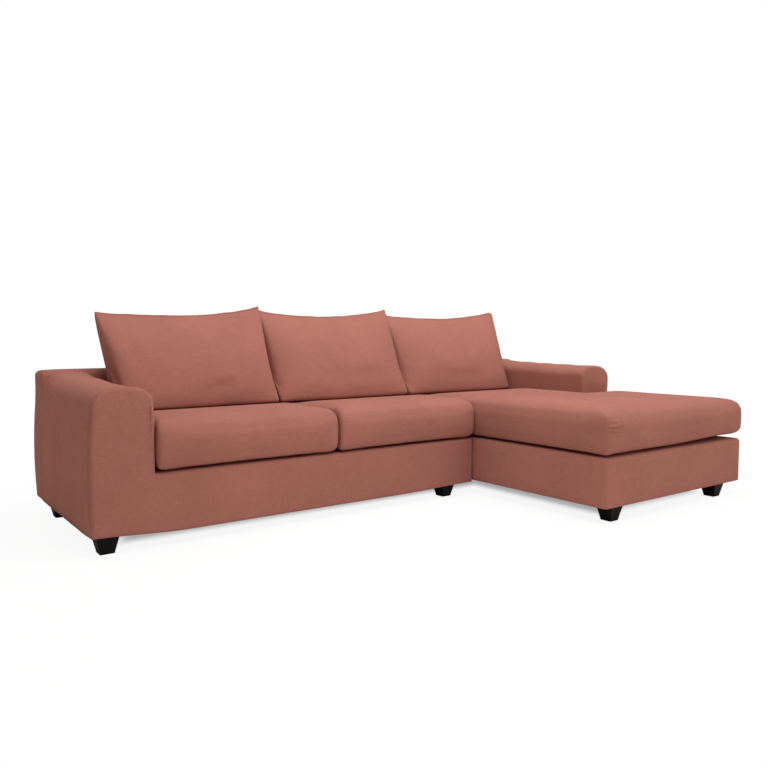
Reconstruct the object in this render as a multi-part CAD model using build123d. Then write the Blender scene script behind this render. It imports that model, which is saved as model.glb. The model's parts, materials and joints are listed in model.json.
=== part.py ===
"""Three-seat sectional sofa with a right-hand chaise, modelled as its separate pieces in millimetres.

Two upholstered sections stand on tapered feet and hook together with a pair of steel clips: the sofa section,
with the left arm and two seats, and the chaise section, with the right arm and the long seat. Loose seat and
back cushions, each a cover round a core, lie on them. +Z is up, -Y is the front, +X runs towards the chaise,
and the origin is on the floor under the middle of the whole sofa.
"""
import os
from math import radians, tan

from build123d import *

# Overall sizes
BODY_LENGTH = 2750.0        # between the outer faces of the two arms at the floor line
SOFA_DEPTH = 860.0          # arm front to the rear of the back
CHAISE_DEPTH = 1610.0       # chaise front to the rear of the back
SEAT_WIDTH = 760.0          # each of the two seats of the sofa section
DECK_HEIGHT = 264.0         # floor to the platform that carries the seat cushions

# Arms
ARM_WIDTH = 216.0
ARM_HEIGHT = 575.0
ARM_CORNER_RADIUS = 60.0    # both top edges, seen from the front
ARM_SIDE_CROWN = 12.0       # how far the outer side swells
ARM_TOP_CROWN = 12.0

# Low back behind the loose cushions
BACK_HEIGHT = 602.0
BACK_THICKNESS = 140.0
BACK_EDGE_RADIUS = 32.0
BACK_FRONT_FOAM = 26.0

# Cover cloth and padding
CLOTH = 3.0                 # cover with its wadding
FOAM = 12.0                 # padding on rails, arms and the rear of the back
DECK_PAD = 20.0
DUST_SHEET = 1.5
NEST_GAP = 0.3              # between a curved cover and what it wraps
BASE_CORNER_RADIUS = 20.0   # upright front corners of a base
BASE_TOP_RADIUS = 12.0

# Timber
RAIL = 22.0                 # thickness of every rail
PLYWOOD = 18.0
HARDBOARD = 4.0
POST_WIDTH = 34.0
CROSS_RAIL_DROP = 45.0      # room for the springs above a cross rail that carries nothing
ARM_TOP_BOARD_WIDTH = 90.0
ARM_TOP_BOARD_DROP = 14.0   # top board below the crown of the arm panels
LEG_BLOCK = 90.0
LEG_BLOCK_DEPTH = 84.0
LEG_BLOCK_HEIGHT = 60.0

# Feet
FOOT_HEIGHT = 62.0
FOOT_TOP = 78.0
FOOT_BOTTOM = 50.0
FOOT_EDGE = 4.0
FOOT_FROM_RAIL = 14.0       # foot centre behind the front rail, or in front of the rear rail less this
FOOT_REAR_FROM_RAIL = 41.0
SOFA_FEET_FROM_ENDS = (15.0, 117.0)     # foot centres from the end rails: arm end, joint end
CHAISE_FEET_FROM_ENDS = (113.0, 65.0)
BOLT_RADIUS = 4.0
BOLT_IN_FOOT = 30.0
BOLT_IN_BLOCK = 45.0
BOLT_CLEARANCE = 0.1
BOLT_HOLE_MARGIN = 2.0      # the dust sheet's hole round a bolt

# Sinuous springs
WIRE = 4.0
SPRING_WIDTH = 70.0
SPRING_LOOP_RADIUS = 22.0   # target, the loops are fitted to the span
SPRING_PITCH = 250.0        # target distance between springs
CLIP_SHEET = 1.5
CLIP_LENGTH = 30.0
CLIP_DEPTH = 14.0
CLIP_CLEARANCE = 0.15

# Clips that join the sections: an upward lip on the sofa, a downward lip on the chaise
JOIN_SHEET = 3.0
JOIN_CLEARANCE = 0.25
JOIN_WIDTH = 90.0
JOIN_ENGAGEMENT = 30.0
JOIN_BRIDGE = 6.0
JOIN_PLATE = 46.0
JOIN_HEIGHT = 150.0         # floor to the top of the lower bridge
JOIN_FROM_ENDS = 130.0      # clip centre from the front of the arms and from the back
JOIN_SCREW_RADIUS = 2.2
JOIN_SCREW_HEAD_RADIUS = 4.0
JOIN_SCREW_HEAD = 1.8
JOIN_SCREW_LENGTH = 22.0
JOIN_SCREW_SPREAD = 30.0
JOIN_SCREW_CLEARANCE = 0.15

# Cushions
CUSHION_GAP = 0.3           # under a cushion and behind a back cushion
CUSHION_SIDE_GAP = 2.0
SEAT_THICKNESS = 182.0      # platform to the crown
SEAT_CROWN = 18.0
SEAT_CROWN_WIDTH = 150.0    # from a rounded edge to the level of the crown
SEAT_SIDE_BOW = 5.0         # sides drawn in between the corners
SEAT_OVERHANG = 20.0        # sofa seats in front of the base
SEAT_CORNER_RADIUS = 45.0
SEAT_TOP_RADIUS = 42.0
SEAT_BOTTOM_RADIUS = 26.0
COVER_CLOTH = 2.5
BACK_CUSHION_TOP = 864.0    # floor to a top corner
BACK_CUSHION_DIP = 30.0     # top edge drawn in between the corners
BACK_CUSHION_SEAM_FOOT = 105.0   # seam line in front of the back, at the seat
BACK_CUSHION_LEAN = 14.0     # degrees
BACK_CUSHION_FRONT = 125.0   # swell in front of the seam line at the seat
BACK_CUSHION_BELLY = 128.0  # swell in front of the seam line half-way up
BACK_CUSHION_REAR = 45.0    # swell behind the seam line above the low back
BACK_CUSHION_SEAM = 14.0    # thickness along the sewn edge
BACK_CUSHION_END_SWELL = 0.30    # share of the swell left at the sewn ends
BACK_CUSHION_SIDE_GAP = 3.0

# Places worked out from the sizes above
PAD = CLOTH + FOAM
SPRING_STACK = WIRE + 2 * CLIP_SHEET + 2 * CLIP_CLEARANCE
BACK_WALL = CLOTH + BACK_FRONT_FOAM + HARDBOARD
SECTION_GAP = 2 * JOIN_SHEET + 3 * JOIN_CLEARANCE
X_ARM = -BODY_LENGTH / 2                       # outer face of the left arm
X_ARM_INNER = X_ARM + ARM_WIDTH
X_JOINT = X_ARM_INNER + 2 * SEAT_WIDTH
Y_REAR = CHAISE_DEPTH / 2
Y_CHAISE_FRONT = Y_REAR - CHAISE_DEPTH
Y_FRONT = Y_REAR - SOFA_DEPTH
Y_BACK = Y_REAR - BACK_THICKNESS               # front face of the low back
Z_BASE = FOOT_HEIGHT
Z_FRAME = Z_BASE + DUST_SHEET
Z_DECK = DECK_HEIGHT
Z_PAD = Z_DECK - CLOTH
Z_RAIL = Z_PAD - DECK_PAD - SPRING_STACK       # top of the rails
Z_SEAT = Z_DECK + CUSHION_GAP + SEAT_THICKNESS
X_ARM_FRAME = X_ARM + PAD                      # outer face of the timber on the arm side
X_ARM_FRAME_INNER = X_ARM_INNER - PAD
Y_POST = Y_BACK + BACK_WALL
Y_REAR_FRAME = Y_REAR - PAD
PAST = 50.0                                    # how far a cutting box runs past what it cuts


def block(low, high):
    """A box between its lowest and highest corner."""
    centre = [(a + b) / 2 for a, b in zip(low, high)]
    size = [b - a for a, b in zip(low, high)]
    return Pos(*centre) * Box(*size)


def along_y(profile, y_low, y_high):
    """A face drawn in X and Z, carried from y_low to y_high."""
    plane = Plane(origin=(0, y_high, 0), x_dir=(1, 0, 0), z_dir=(0, -1, 0))
    return extrude(plane * profile, amount=y_high - y_low)


def along_x(profile, x_low, x_high):
    """A face drawn in Y and Z, carried from x_low to x_high."""
    plane = Plane(origin=(x_low, 0, 0), x_dir=(0, 1, 0), z_dir=(1, 0, 0))
    return extrude(plane * profile, amount=x_high - x_low)


def save(node, *solids):
    """Writes one sub-part, of one or more separate solids."""
    pieces = [s for shape in solids for s in shape.solids()]
    shape = pieces[0] if len(pieces) == 1 else Compound(children=pieces)
    export_step(shape, os.path.join("parts", f"{node}.step"))


class Section:
    """One upholstered section, drawn with its arm on the left: the chaise is mirrored when it is saved."""

    def __init__(self, name, length, y_front, feet_from_ends, mirrored):
        self.name = name
        self.mirrored = mirrored
        self.lips_up = not mirrored                 # the sofa's clips hook upward, the chaise's downward
        self.y_front = y_front
        self.past_arm = y_front < Y_FRONT - PAD     # the base runs on in front of the arm
        self.x_joint = X_ARM + length               # the face that meets the other section
        self.frame = (X_ARM_FRAME, self.x_joint - CLOTH)
        self.y_frame = y_front + PAD
        inner_ends = (self.frame[0] + RAIL, self.frame[1] - RAIL)
        foot_x = (inner_ends[0] + feet_from_ends[0], inner_ends[1] - feet_from_ends[1])
        foot_y = (self.y_frame + RAIL + FOOT_FROM_RAIL, Y_POST - RAIL - FOOT_REAR_FROM_RAIL)
        self.inner_ends = inner_ends
        self.feet = [(x, y) for y in foot_y for x in foot_x]

    def save(self, node, *solids):
        """Writes a sub-part of this section on its own side."""
        if self.mirrored:
            solids = [mirror(s, about=Plane.YZ) for s in solids]
        save(f"{self.name}_{node}", *solids)


# Timber frame of the base

def rail_across(section, y_low):
    """A rail along X between the ends of the frame."""
    return block((section.frame[0], y_low, Z_FRAME), (section.frame[1], y_low + RAIL, Z_RAIL))


def side_rails(section):
    """The two end rails and the rail under the inner side of the arm."""
    y_low, y_high = section.y_frame + RAIL, Y_POST - RAIL
    ends = [
        block((x, y_low, Z_FRAME), (x + RAIL, y_high, Z_RAIL))
        for x in (section.frame[0], section.frame[1] - RAIL)
    ]
    under_arm_from = Y_FRONT + PAD + RAIL
    inner = block(
        (X_ARM_FRAME_INNER - RAIL, under_arm_from, Z_FRAME), (X_ARM_FRAME_INNER, y_high, Z_RAIL)
    )
    for hole in join_screws(section, JOIN_SCREW_CLEARANCE):
        ends[1] -= hole
    return [*ends, inner]


def front_rail(section):
    """The front rail, its end at the joint rounded to lie inside the cover."""
    return rail_across(section, section.y_frame) - front_corner_waste(section)


def front_corner_waste(section):
    """What the rounded upright corner of the cover at the joint leaves no room for."""
    radius = BASE_CORNER_RADIUS
    x, y = section.x_joint, section.y_front
    z = (Z_BASE - PAST, Z_DECK + PAST)
    corner = block((x - radius, y - PAST, z[0]), (x + PAST, y + radius, z[1]))
    inside = Pos(x - radius, y + radius, (z[0] + z[1]) / 2) * Cylinder(radius - CLOTH - NEST_GAP, z[1] - z[0])
    return corner - inside


def sofa_cross_rails(section):
    """One rail from front to rear between the two seats, below the springs."""
    x = X_ARM_INNER + SEAT_WIDTH
    low = (x - RAIL / 2, section.y_frame + RAIL, Z_FRAME)
    return [block(low, (x + RAIL / 2, Y_POST - RAIL, Z_RAIL - CROSS_RAIL_DROP))]


def chaise_cross_rails(section):
    """A rail under the front of the arm, and one half-way to the chaise's front."""
    y_arm = Y_FRONT + PAD
    y_middle = (section.y_frame + RAIL + y_arm) / 2
    x_low, x_high = section.inner_ends
    return [
        block((x_low, y_arm, Z_FRAME), (x_high, y_arm + RAIL, Z_RAIL)),
        block(
            (x_low, y_middle - RAIL / 2, Z_FRAME),
            (x_high, y_middle + RAIL / 2, Z_RAIL - CROSS_RAIL_DROP),
        ),
    ]


def leg_blocks(section):
    """A glued block behind the front rail or in front of the rear rail, over each foot, bored for its bolt."""
    blocks = []
    y_rails = (section.y_frame + RAIL, Y_POST - RAIL)
    for x, y in section.feet:
        x_low = max(x - LEG_BLOCK / 2, section.inner_ends[0])
        x_high = min(x + LEG_BLOCK / 2, section.inner_ends[1])
        at_front = abs(y - y_rails[0]) < abs(y - y_rails[1])
        if not (at_front and section.past_arm):
            x_low, x_high = clear_of_arm_rail(x, x_low, x_high)
        y_low = y_rails[0] if at_front else y_rails[1] - LEG_BLOCK_DEPTH
        solid = block((x_low, y_low, Z_FRAME), (x_high, y_low + LEG_BLOCK_DEPTH, Z_FRAME + LEG_BLOCK_HEIGHT))
        blocks.append(solid - bolt_at(x, y, BOLT_CLEARANCE))
    return blocks


def clear_of_arm_rail(x, x_low, x_high):
    """A block's ends, kept off the rail under the inner side of the arm."""
    if x < X_ARM_FRAME_INNER - RAIL:
        return x_low, min(x_high, X_ARM_FRAME_INNER - RAIL)
    return max(x_low, X_ARM_FRAME_INNER), x_high


def bolt_at(x, y, margin):
    """A hanger bolt from inside the foot up into its block, or the hole for it."""
    length = BOLT_IN_FOOT + DUST_SHEET + BOLT_IN_BLOCK
    middle = Z_BASE - BOLT_IN_FOOT + length / 2
    return Pos(x, y, middle) * Cylinder(BOLT_RADIUS + margin, length + 2 * margin)


def feet(section):
    """Square feet that taper towards the floor, each bored for its bolt."""
    made = []
    for x, y in section.feet:
        top = Pos(x, y, Z_BASE) * RectangleRounded(FOOT_TOP, FOOT_TOP, FOOT_EDGE)
        bottom = Pos(x, y, 0) * RectangleRounded(FOOT_BOTTOM, FOOT_BOTTOM, FOOT_EDGE)
        made.append(loft([bottom, top], ruled=True) - bolt_at(x, y, BOLT_CLEARANCE))
    return made


def dust_sheet(section):
    """Thin cloth under the frame, with a hole for each bolt."""
    low = (section.frame[0], section.y_frame, Z_BASE)
    sheet = block(low, (section.frame[1], Y_REAR_FRAME, Z_FRAME)) - front_corner_waste(section)
    for x, y in section.feet:
        sheet -= bolt_at(x, y, BOLT_HOLE_MARGIN)
    return sheet


# Springs

def spring(span):
    """One zigzag of wire along +Y, its first and last cross runs span apart, centred on the origin in X."""
    half = SPRING_WIDTH / 2 - SPRING_LOOP_RADIUS
    loops = max(2, round(span / (2 * SPRING_LOOP_RADIUS)))
    radius = span / (2 * loops)
    edges = []
    side = 1
    for n in range(loops):
        y = 2 * radius * n
        edges.append(Line((-side * half, y), (side * half, y)))
        edges.append(
            ThreePointArc(
                (side * half, y), (side * (half + radius), y + radius), (side * half, y + 2 * radius)
            )
        )
        side = -side
    edges.append(Line((-side * half, span), (side * half, span)))
    path = Wire(edges)
    section = Plane(origin=path @ 0, z_dir=path % 0) * Circle(WIRE / 2)
    return sweep(section, path=path)


def spring_clip():
    """A folded clip that holds a cross run at the origin, open towards +Y and standing on its rail."""
    bore = WIRE / 2 + CLIP_CLEARANCE
    outside = block(
        (-CLIP_LENGTH / 2, -CLIP_DEPTH / 2, -bore - CLIP_SHEET), (CLIP_LENGTH / 2, CLIP_DEPTH / 2, bore + CLIP_SHEET)
    )
    slot = block((-CLIP_LENGTH, -bore, -bore), (CLIP_LENGTH, CLIP_DEPTH, bore))
    return outside - slot


def spring_row(places, span, turn):
    """Springs at the given ends with a clip at each of their ends; turn is the way they run, about Z from +Y."""
    wire = spring(span)
    clip = spring_clip()
    springs = []
    clips = []
    for x, y in places:
        place = Pos(x, y, Z_RAIL + SPRING_STACK / 2) * Rot(0, 0, turn)
        springs.append(place * wire)
        clips.append(place * clip)
        clips.append(place * Pos(0, span, 0) * Rot(0, 0, 180) * clip)
    return springs, clips


def spread(low, high):
    """Middles of equal bays between low and high, about a spring's pitch apart."""
    bays = max(2, round((high - low) / SPRING_PITCH))
    return [low + (high - low) * (n + 0.5) / bays for n in range(bays)]


def sofa_springs(section):
    """Springs from the front rail to the rear rail."""
    y_low = section.y_frame + RAIL / 2
    y_high = Y_POST - RAIL / 2
    places = [(x, y_low) for x in spread(X_ARM_INNER, section.x_joint)]
    return spring_row(places, y_high - y_low, 0)


def chaise_springs(section):
    """Springs across the chaise: from end rail to end rail in front of the arm, and from the arm's rail behind it."""
    x_high = section.frame[1] - RAIL / 2
    y_arm = Y_FRONT + PAD
    rows = [
        (section.frame[0] + RAIL / 2, spread(section.y_frame + RAIL, y_arm)),
        (X_ARM_FRAME_INNER - RAIL / 2, spread(y_arm + RAIL, Y_POST - RAIL)),
    ]
    springs = []
    clips = []
    for x_low, row in rows:
        made = spring_row([(x_low, y) for y in row], x_high - x_low, -90)
        springs += made[0]
        clips += made[1]
    return springs, clips


# Padding and cover of the base

def taken_by_arm_and_back(section):
    """The space in plan that the arm and the ends of the back take from the base's cover and padding."""
    z = (Z_BASE - PAST, Z_DECK + PAST)
    y_past = Y_POST + PAST
    x_past = X_ARM - ARM_SIDE_CROWN - PAST
    if section.past_arm:
        front = block((x_past, Y_FRONT, z[0]), (X_ARM_FRAME, y_past, z[1]))
    else:
        front = block((x_past, section.y_front - PAST, z[0]), (X_ARM_INNER, Y_FRONT + PAD, z[1]))
    arm = block((x_past, Y_FRONT + PAD, z[0]), (X_ARM_FRAME_INNER, y_past, z[1]))
    back_end = block((section.x_joint - CLOTH, Y_BACK, z[0]), (section.x_joint + PAST, y_past, z[1]))
    return front + arm + back_end


def base_shape(section, inset):
    """The base as a block with rounded upright front corners and front and side top edges, taken in by inset."""
    low = (X_ARM + inset, section.y_front + inset, Z_BASE - (PAST if inset else 0))
    solid = block(low, (section.x_joint - inset, Y_POST + (PAST if inset else 0), Z_DECK - inset))
    corners = solid.edges().filter_by(Axis.Z).group_by(Axis.Y)[0]
    solid = fillet(corners, BASE_CORNER_RADIUS - inset)
    front_rim = solid.faces().sort_by(Axis.Z)[-1].edges().sort_by(Axis.Y)[:-1]
    return fillet(front_rim, BASE_TOP_RADIUS - inset)


def base_cover(section):
    """Cloth over the platform and down the sides that show, in one fitted piece."""
    cover = base_shape(section, 0) - base_shape(section, CLOTH) - taken_by_arm_and_back(section)
    for hole in join_screws(section, JOIN_SCREW_CLEARANCE):
        cover -= hole
    return cover


def base_foam(section):
    """Padding on the outer faces of the front and arm-side rails."""
    timber = block(
        (X_ARM_FRAME, section.y_frame, Z_BASE - PAST), (section.x_joint + PAST, Y_POST + 2 * PAST, Z_DECK)
    )
    above = block(
        (X_ARM - PAST, section.y_front - PAST, Z_BASE - 2 * PAST), (section.x_joint, Y_POST, Z_BASE)
    )
    padding = base_shape(section, CLOTH) - timber - above
    behind = block(
        (X_ARM - PAST, Y_BACK, Z_BASE - PAST), (section.x_joint + PAST, Y_POST + 2 * PAST, Z_DECK)
    )
    return padding - behind - taken_by_arm_and_back(section)


def deck_pad(section):
    """The pad on the springs."""
    low = (section.frame[0], section.y_frame, Z_PAD - DECK_PAD)
    pad = block(low, (section.frame[1], Y_POST, Z_PAD)) - taken_by_arm_and_back(section)
    return pad & base_shape(section, CLOTH + NEST_GAP)


# Arm

def arm_profile(inset, side_crown, z_low):
    """The arm from the front: rounded top edges, a slightly crowned top and a swollen outer side."""
    x_out = X_ARM + inset
    x_in = X_ARM_INNER - inset
    z_top = ARM_HEIGHT - inset
    z_edge = z_top - ARM_TOP_CROWN
    if side_crown:
        outer = ThreePointArc((x_out, z_low), (x_out - side_crown, (z_low + z_edge) / 2), (x_out, z_edge))
    else:
        outer = Line((x_out, z_low), (x_out, z_edge))
    top = ThreePointArc((x_out, z_edge), ((x_out + x_in) / 2, z_top), (x_in, z_edge))
    face = make_face([outer, top, Line((x_in, z_edge), (x_in, z_low)), Line((x_in, z_low), (x_out, z_low))])
    shoulders = face.vertices().sort_by(Axis.Y)[-2:]
    return fillet(shoulders, ARM_CORNER_RADIUS - inset)


def arm_shell(section, outer_inset, wall, inner_crown):
    """A skin of the arm: closed at the front, open to the back, down to the floor line outside only."""
    y_low = Y_FRONT + outer_inset
    outside = along_y(arm_profile(outer_inset, ARM_SIDE_CROWN, Z_BASE), y_low, Y_BACK)
    inset = outer_inset + wall
    inside = along_y(arm_profile(inset, inner_crown, Z_BASE), Y_FRONT + inset, Y_BACK)
    y_below = Y_FRONT - PAST if section.past_arm else Y_FRONT + PAD
    below = block((X_ARM_FRAME, y_below, Z_BASE - PAST), (X_ARM_INNER + PAST, Y_BACK + PAST, Z_DECK))
    return outside - inside - below


def arm_cover(section):
    """The cloth of the arm, its front edge rounded."""
    return arm_shell(section, 0, CLOTH, ARM_SIDE_CROWN)


def arm_foam(section):
    """The padding inside the arm's cover, flat where it lies on the boards."""
    return arm_shell(section, CLOTH + NEST_GAP, FOAM - NEST_GAP, 0)


def arm_panels():
    """Plywood panels at the front and rear of the arm, standing on the rails."""
    profile = arm_profile(PAD, 0, Z_RAIL)
    y_front = Y_FRONT + PAD
    return [along_y(profile, y, y + PLYWOOD) for y in (y_front, Y_BACK - PLYWOOD)]


def arm_boards():
    """A top board and hardboard sides between the arm's panels."""
    y = (Y_FRONT + PAD + PLYWOOD, Y_BACK - PLYWOOD)
    z_shoulder = ARM_HEIGHT - ARM_TOP_CROWN - ARM_CORNER_RADIUS
    x_middle = (X_ARM + X_ARM_INNER) / 2
    z_top = ARM_HEIGHT - PAD - ARM_TOP_BOARD_DROP
    half = ARM_TOP_BOARD_WIDTH / 2
    return [
        block((x_middle - half, y[0], z_top - PLYWOOD), (x_middle + half, y[1], z_top)),
        block((X_ARM_FRAME, y[0], Z_RAIL), (X_ARM_FRAME + HARDBOARD, y[1], z_shoulder)),
        block((X_ARM_FRAME_INNER - HARDBOARD, y[0], Z_DECK), (X_ARM_FRAME_INNER, y[1], z_shoulder)),
    ]


# Low back

def back_profile(inset, z_low):
    """The back from the end, with rounded top edges."""
    y_low, y_high, z_high = Y_BACK + inset, Y_REAR - inset, BACK_HEIGHT - inset
    face = make_face(Polyline((y_low, z_low), (y_high, z_low), (y_high, z_high), (y_low, z_high), close=True))
    return fillet(face.vertices().sort_by(Axis.Y)[-2:], BACK_EDGE_RADIUS - inset)


def above_platform(section, x_low, x_high):
    """What the front of the back leaves free below the platform, for the springs and the pad."""
    return block((x_low, Y_BACK - PAST, Z_BASE - PAST), (x_high, Y_POST, Z_DECK))


def back_cover(section):
    """Cloth round the back and over its ends."""
    outside = along_x(back_profile(0, Z_BASE), X_ARM, section.x_joint)
    inside = along_x(back_profile(CLOTH, Z_BASE), X_ARM + CLOTH, section.x_joint - CLOTH)
    return outside - inside - above_platform(section, X_ARM_FRAME, section.x_joint - CLOTH)


def back_foam(section):
    """Padding inside the back's cover: thick in front, thin on top, behind and at the arm end."""
    x_low, x_high = X_ARM + CLOTH, section.x_joint - CLOTH
    inset = CLOTH + NEST_GAP
    outside = along_x(back_profile(inset, Z_BASE), x_low, x_high)
    timber = block(
        (X_ARM_FRAME, Y_POST - HARDBOARD, Z_BASE - PAST), (x_high + PAST, Y_REAR_FRAME, BACK_HEIGHT - PAD)
    )
    return outside - timber - above_platform(section, X_ARM_FRAME, x_high + PAST)


def back_rails(section):
    """A board along the bottom of the back and one along its top."""
    x_low, x_high = section.frame
    z_top = BACK_HEIGHT - PAD
    return [
        block((x_low, Y_POST, Z_FRAME), (x_high, Y_REAR_FRAME, Z_FRAME + RAIL)),
        block((x_low, Y_POST - HARDBOARD, z_top - RAIL), (x_high, Y_REAR_FRAME, z_top)),
    ]


def back_posts(section):
    """Posts between the two back rails, at the ends and the middle."""
    z = (Z_FRAME + RAIL, BACK_HEIGHT - PAD - RAIL)
    x_low, x_high = section.frame
    middle = (x_low + x_high - POST_WIDTH) / 2
    return [
        block((x, Y_POST, z[0]), (x + POST_WIDTH, Y_REAR_FRAME, z[1]))
        for x in (x_low, middle, x_high - POST_WIDTH)
    ]


def back_board(section):
    """Hardboard on the front of the posts, behind the thick padding."""
    low = (section.frame[0], Y_POST - HARDBOARD, Z_DECK)
    return block(low, (section.frame[1], Y_POST, BACK_HEIGHT - PAD - RAIL))


# Clips between the sections

def join_places():
    """Clip centres along the joint."""
    return (Y_FRONT + JOIN_FROM_ENDS, Y_BACK - JOIN_FROM_ENDS)


def join_clip(x_face, y, upward):
    """A joggled clip on the face at x_face, standing out towards +X, its lip upward or downward."""
    reach = 2 * JOIN_SHEET + JOIN_CLEARANCE * 2
    lip_from = JOIN_SHEET + JOIN_CLEARANCE * 2
    way = 1 if upward else -1
    origin = JOIN_HEIGHT if upward else JOIN_HEIGHT + JOIN_ENGAGEMENT + JOIN_CLEARANCE
    y_low, y_high = y - JOIN_WIDTH / 2, y + JOIN_WIDTH / 2

    def strip(x_low, x_high, from_bridge, to_bridge):
        z = sorted((origin + way * from_bridge, origin + way * to_bridge))
        return block((x_face + x_low, y_low, z[0]), (x_face + x_high, y_high, z[1]))

    plate = strip(0, JOIN_SHEET, -JOIN_PLATE, 0)
    bridge = strip(0, reach, -JOIN_BRIDGE, 0)
    lip = strip(lip_from, reach, -JOIN_BRIDGE, JOIN_ENGAGEMENT - JOIN_CLEARANCE)
    clip = plate + bridge + lip
    for screw_y in (y - JOIN_SCREW_SPREAD, y + JOIN_SCREW_SPREAD):
        clip -= join_screw(x_face, screw_y, upward, JOIN_SCREW_CLEARANCE)
    return clip


def join_screw(x_face, y, upward, margin):
    """A countersunk wood screw through the clip's plate, its head flush, or the hole for it."""
    way = 1 if upward else -1
    origin = JOIN_HEIGHT if upward else JOIN_HEIGHT + JOIN_ENGAGEMENT + JOIN_CLEARANCE
    z = origin - way * (JOIN_BRIDGE + JOIN_PLATE) / 2
    place = Pos(x_face + JOIN_SHEET, y, z) * Rot(0, 90, 0)
    head = Pos(0, 0, -JOIN_SCREW_HEAD / 2) * Cone(
        JOIN_SCREW_RADIUS + margin, JOIN_SCREW_HEAD_RADIUS + margin, JOIN_SCREW_HEAD
    )
    shank = Pos(0, 0, -JOIN_SCREW_LENGTH / 2) * Cylinder(JOIN_SCREW_RADIUS + margin, JOIN_SCREW_LENGTH)
    return place * (head + shank)


def join_screws(section, margin):
    """The screws of both clips on a section's joint face, or the holes for them."""
    return [
        join_screw(section.x_joint, y + side * JOIN_SCREW_SPREAD, section.lips_up, margin)
        for y in join_places()
        for side in (-1, 1)
    ]


# Loose cushions

def bowed_outline(points):
    """A closed outline through the corners, its sides drawn in a little and its outer corners rounded."""
    edges = []
    outer = []
    for start, end in zip(points, points[1:] + points[:1]):
        along = Vector(*end) - Vector(*start)
        inward = Vector(-along.Y, along.X).normalized() * SEAT_SIDE_BOW
        middle = (Vector(*start) + Vector(*end)) * 0.5 + inward
        edges.append(ThreePointArc(start, middle, end))
    for before, here, after in zip(points[-1:] + points[:-1], points, points[1:] + points[:1]):
        arriving = Vector(*here) - Vector(*before)
        leaving = Vector(*after) - Vector(*here)
        if arriving.cross(leaving).Z > 0:
            outer.append(Vector(*here))
    face = make_face(edges)
    rounded = [v for v in face.vertices() if any((Vector(v.X, v.Y) - p).length < 1e-6 for p in outer)]
    return fillet(rounded, SEAT_CORNER_RADIUS)


SEAT_EDGE_STEPS = ((0.0, 1.0), (0.29, 0.29), (1.0, 0.0))    # a rounded edge as shares of its radius
SEAT_CROWN_STEPS = ((0.65, 0.35), (1.0, 1.0))


def seat_solid(points, inset):
    """A seat cushion on a counter-clockwise plan, lofted upward: rounded at its edges and crowned on top."""
    z_low = Z_DECK + CUSHION_GAP + inset
    z_top = Z_SEAT - inset
    z_edge = z_top - SEAT_CROWN
    levels = [(z_low + SEAT_BOTTOM_RADIUS * up, SEAT_BOTTOM_RADIUS * taken) for up, taken in SEAT_EDGE_STEPS]
    levels += [(z_edge - SEAT_TOP_RADIUS * up, SEAT_TOP_RADIUS * taken) for up, taken in reversed(SEAT_EDGE_STEPS)]
    levels += [(z_edge + SEAT_CROWN * up, SEAT_TOP_RADIUS + SEAT_CROWN_WIDTH * taken) for up, taken in SEAT_CROWN_STEPS]
    outlines = [Pos(0, 0, z) * bowed_outline(shrunk(points, inset + taken)) for z, taken in levels]
    return loft(outlines, ruled=True)


def rectangle(x_low, x_high, y_low, y_high):
    """The corners of a plan, counter-clockwise."""
    return [(x_low, y_low), (x_high, y_low), (x_high, y_high), (x_low, y_high)]


def shrunk(points, inset):
    """A counter-clockwise plan of right angles with every side moved in by inset."""
    moved = []
    for before, here, after in zip(points[-1:] + points[:-1], points, points[1:] + points[:1]):
        arriving = (Vector(*here) - Vector(*before)).normalized()
        leaving = (Vector(*after) - Vector(*here)).normalized()
        inward = Vector(-arriving.Y, arriving.X) + Vector(-leaving.Y, leaving.X)
        moved.append((here[0] + inward.X * inset, here[1] + inward.Y * inset))
    return moved


def seat_cushion(name, points):
    """Saves a seat cushion as its cover and its foam core."""
    save(f"{name}_cover", seat_solid(points, 0) - seat_solid(points, COVER_CLOTH))
    save(f"{name}_core", seat_solid(points, COVER_CLOTH + NEST_GAP))


def back_section(x, swell, top, inset):
    """A slice of a back cushion at x: flat on the seat and against the low back, sewn at its top edge."""
    z_low = Z_SEAT + CUSHION_GAP + inset
    z_top = top - inset
    y_rear = Y_BACK - CUSHION_GAP - inset
    z_mid = (z_low + z_top) / 2
    z_free = min(BACK_HEIGHT, z_mid)
    half_seam = BACK_CUSHION_SEAM / 2 - inset

    def seam(z):
        return Y_BACK - BACK_CUSHION_SEAM_FOOT + (z - Z_SEAT) * tan(radians(BACK_CUSHION_LEAN))

    def front(z, depth):
        return seam(z) - half_seam - (depth - BACK_CUSHION_SEAM / 2) * swell

    def rear(z, y_full):
        return seam(z) + half_seam + (y_full - seam(z) - half_seam) * swell

    z_rear_mid = (z_free + z_top) / 2
    y_rear_mid = seam(z_rear_mid) + BACK_CUSHION_REAR - inset
    corners = [
        (front(z_low, BACK_CUSHION_FRONT), z_low),
        (front(z_mid, BACK_CUSHION_BELLY), z_mid),
        (seam(z_top) - half_seam, z_top),
        (seam(z_top) + half_seam, z_top),
        (rear(z_rear_mid, y_rear_mid), z_rear_mid),
        (rear(z_free, y_rear), z_free),
        (rear(z_low, y_rear), z_low),
    ]
    edges = [
        ThreePointArc(*corners[0:3]),
        Line(*corners[2:4]),
        ThreePointArc(*corners[3:6]),
        Line(*corners[5:7]),
        Line(corners[6], corners[0]),
    ]
    plane = Plane(origin=(x, 0, 0), x_dir=(0, 1, 0), z_dir=(1, 0, 0))
    return plane * make_face(edges)


BACK_CUSHION_SLICES = (-1.0, -0.86, -0.5, 0.0, 0.5, 0.86, 1.0)


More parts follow.
